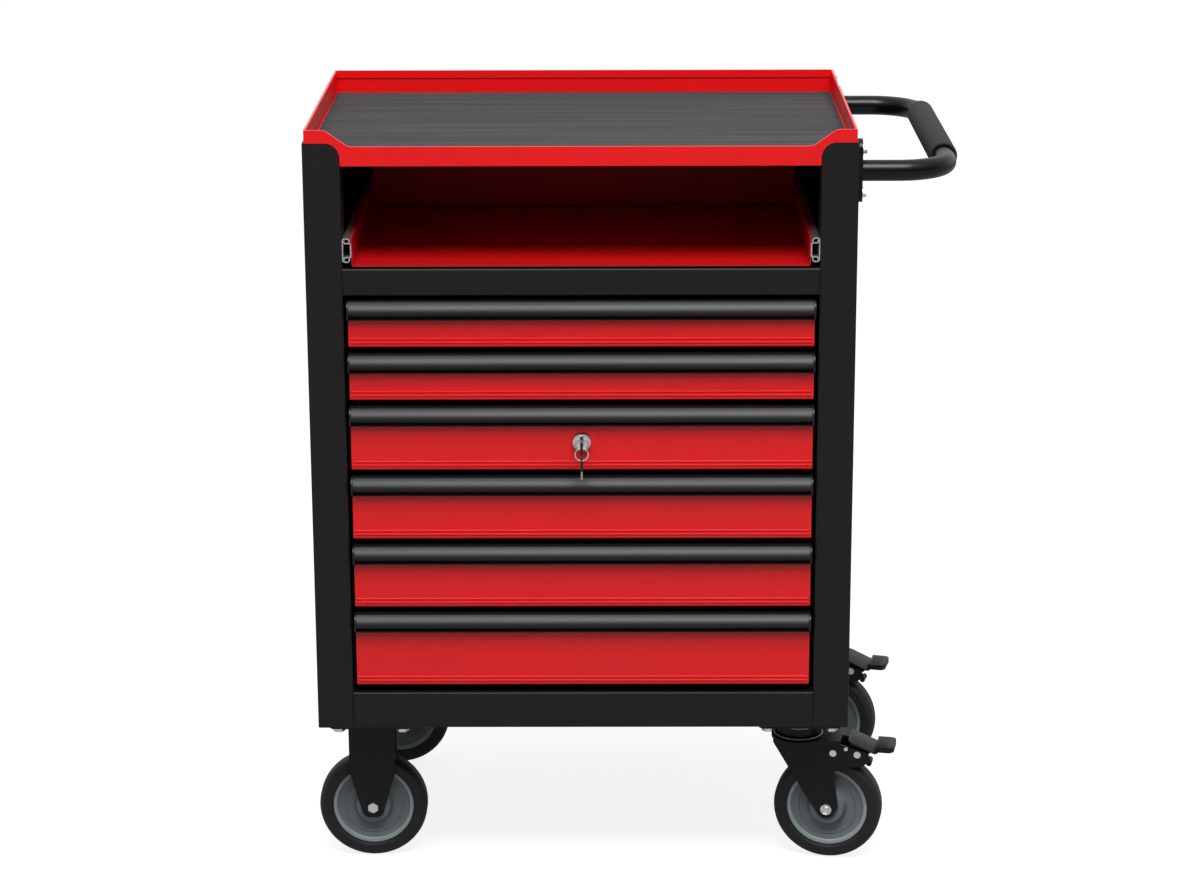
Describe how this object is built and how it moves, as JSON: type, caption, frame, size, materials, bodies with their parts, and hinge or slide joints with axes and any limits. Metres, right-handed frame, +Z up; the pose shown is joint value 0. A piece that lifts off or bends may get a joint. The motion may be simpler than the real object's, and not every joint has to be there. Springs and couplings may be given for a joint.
{
  "type": "service cart",
  "caption": "Mobile sheet-metal tool cart with a rimmed top tray, an open compartment with a pull-out tray, lockable drawers, a side push handle and castors.",
  "frame": {"origin": "on the floor, under the middle of the cart's whole box", "axes": "+X towards the push handle, +Y from the drawer fronts to the back, +Z up"},
  "size_m": [0.723, 0.467, 0.8681],
  "materials": {
    "red_paint": "semi-gloss powder coat",
    "black_paint": "satin powder coat",
    "black_steel": "satin",
    "zinc_steel": "zinc plated",
    "dark_aluminium": "dark anodised",
    "mat_rubber": "matte ribbed",
    "grip_foam": "matte foam",
    "hub_plastic": "satin moulded",
    "tyre": "matte",
    "key_plastic": "moulded bow on a steel blade"
  },
  "bodies": {
    "cabinet": {"left_side_panel": "black_paint", "right_side_panel": "black_paint", "back_panel": "black_paint", "rear_top_rail": "black_paint", "front_sill": "black_paint", "floor_pan": "black_paint", "caster_channels": "black_paint", "rear_uprights": "black_paint", "cabinet_slide_rails": "zinc_steel", "top_tray": "red_paint", "ribbed_mat": "mat_rubber", "push_handle": "black_paint", "handle_grip": "grip_foam", "handle_bolts": "zinc_steel", "caster_bolts": "zinc_steel", "rigid_bracket_front": "black_steel", "rigid_bracket_rear": "black_steel", "rigid_axles": "zinc_steel", "swivel_plate_front": "black_steel", "swivel_plate_rear": "black_steel"},
    "drawer_1": {"drawer_box_1": "red_paint", "drawer_pull_1": "dark_aluminium", "drawer_rails_1": "zinc_steel"},
    "drawer_2": {"drawer_box_2": "red_paint", "drawer_pull_2": "dark_aluminium", "drawer_rails_2": "zinc_steel"},
    "drawer_3": {"drawer_box_3": "red_paint", "drawer_pull_3": "dark_aluminium", "drawer_rails_3": "zinc_steel", "lock_housing": "zinc_steel"},
    "drawer_4": {"drawer_box_4": "red_paint", "drawer_pull_4": "dark_aluminium", "drawer_rails_4": "zinc_steel"},
    "drawer_5": {"drawer_box_5": "red_paint", "drawer_pull_5": "dark_aluminium", "drawer_rails_5": "zinc_steel"},
    "drawer_6": {"drawer_box_6": "red_paint", "drawer_pull_6": "dark_aluminium", "drawer_rails_6": "zinc_steel"},
    "tray": {"sliding_tray": "red_paint", "sliding_tray_rails": "zinc_steel"},
    "lock": {"lock_cylinder": "zinc_steel"},
    "key": {"key": "key_plastic"},
    "ring": {"key_ring": "zinc_steel"},
    "spare": {"spare_key": "key_plastic"},
    "wheel_front_left": {"wheel_hub_front_left": "hub_plastic", "tyre_front_left": "tyre"},
    "swivel_front": {"swivel_fork_front": "black_steel", "swivel_axle_front": "zinc_steel"},
    "wheel_front_right": {"wheel_hub_front_right": "hub_plastic", "tyre_front_right": "tyre"},
    "pedal_front": {"brake_pedal_front": "black_steel"},
    "wheel_rear_left": {"wheel_hub_rear_left": "hub_plastic", "tyre_rear_left": "tyre"},
    "swivel_rear": {"swivel_fork_rear": "black_steel", "swivel_axle_rear": "zinc_steel"},
    "wheel_rear_right": {"wheel_hub_rear_right": "hub_plastic", "tyre_rear_right": "tyre"},
    "pedal_rear": {"brake_pedal_rear": "black_steel"}
  },
  "joints": [
    {"name": "drawer_1_slide", "type": "slide", "parent": "cabinet", "child": "drawer_1", "axis": [0, -1, 0], "range_m": [0, 0.26]},
    {"name": "drawer_2_slide", "type": "slide", "parent": "cabinet", "child": "drawer_2", "axis": [0, -1, 0], "range_m": [0, 0.26]},
    {"name": "drawer_3_slide", "type": "slide", "parent": "cabinet", "child": "drawer_3", "axis": [0, -1, 0], "range_m": [0, 0.26]},
    {"name": "drawer_4_slide", "type": "slide", "parent": "cabinet", "child": "drawer_4", "axis": [0, -1, 0], "range_m": [0, 0.26]},
    {"name": "drawer_5_slide", "type": "slide", "parent": "cabinet", "child": "drawer_5", "axis": [0, -1, 0], "range_m": [0, 0.26]},
    {"name": "drawer_6_slide", "type": "slide", "parent": "cabinet", "child": "drawer_6", "axis": [0, -1, 0], "range_m": [0, 0.26]},
    {"name": "tray_slide", "type": "slide", "parent": "cabinet", "child": "tray", "axis": [0, -1, 0], "range_m": [0, 0.25]},
    {"name": "lock_turn", "type": "hinge", "parent": "drawer_3", "child": "lock", "pos_m": [-0.054, -0.2055, 0.5207], "axis": [0, 1, 0], "range_deg": [0, 90]},
    {"name": "key_slide", "type": "slide", "parent": "lock", "child": "key", "axis": [0, -1, 0], "range_m": [0, 0.025]},
    {"name": "ring_swing", "type": "hinge", "parent": "key", "child": "ring", "pos_m": [-0.054, -0.2279, 0.5207], "axis": [1, 0, 0], "range_deg": [-45, 10]},
    {"name": "spare_swing", "type": "hinge", "parent": "ring", "child": "spare", "pos_m": [-0.054, -0.2279, 0.503], "axis": [1, 0, 0], "range_deg": [-45, 15]},
    {"name": "wheel_front_left_spin", "type": "hinge", "parent": "cabinet", "child": "wheel_front_left", "pos_m": [-0.299, -0.1315, 0.0625], "axis": [0, 1, 0], "continuous": true},
    {"name": "wheel_rear_left_spin", "type": "hinge", "parent": "cabinet", "child": "wheel_rear_left", "pos_m": [-0.288, 0.1585, 0.0625], "axis": [0, 1, 0], "continuous": true},
    {"name": "swivel_front_turn", "type": "hinge", "parent": "cabinet", "child": "swivel_front", "pos_m": [0.1945, -0.1315, 0.1535], "axis": [0, 0, 1], "continuous": true},
    {"name": "wheel_front_right_spin", "type": "hinge", "parent": "swivel_front", "child": "wheel_front_right", "pos_m": [0.22984, -0.13837, 0.0625], "axis": [0.1908, 0.9816, 0], "continuous": true},
    {"name": "pedal_front_press", "type": "hinge", "parent": "swivel_front", "child": "pedal_front", "pos_m": [0.2641, -0.14503, 0.1325], "axis": [0.1908, 0.9816, 0], "range_deg": [0, 12]},
    {"name": "swivel_rear_turn", "type": "hinge", "parent": "cabinet", "child": "swivel_rear", "pos_m": [0.21, 0.1515, 0.1535], "axis": [0, 0, 1], "continuous": true},
    {"name": "wheel_rear_right_spin", "type": "hinge", "parent": "swivel_rear", "child": "wheel_rear_right", "pos_m": [0.24477, 0.14218, 0.0625], "axis": [0.2588, 0.9659, 0], "continuous": true},
    {"name": "pedal_rear_press", "type": "hinge", "parent": "swivel_rear", "child": "pedal_rear", "pos_m": [0.27848, 0.13315, 0.1325], "axis": [0.2588, 0.9659, 0], "range_deg": [0, 12]}
  ]
}
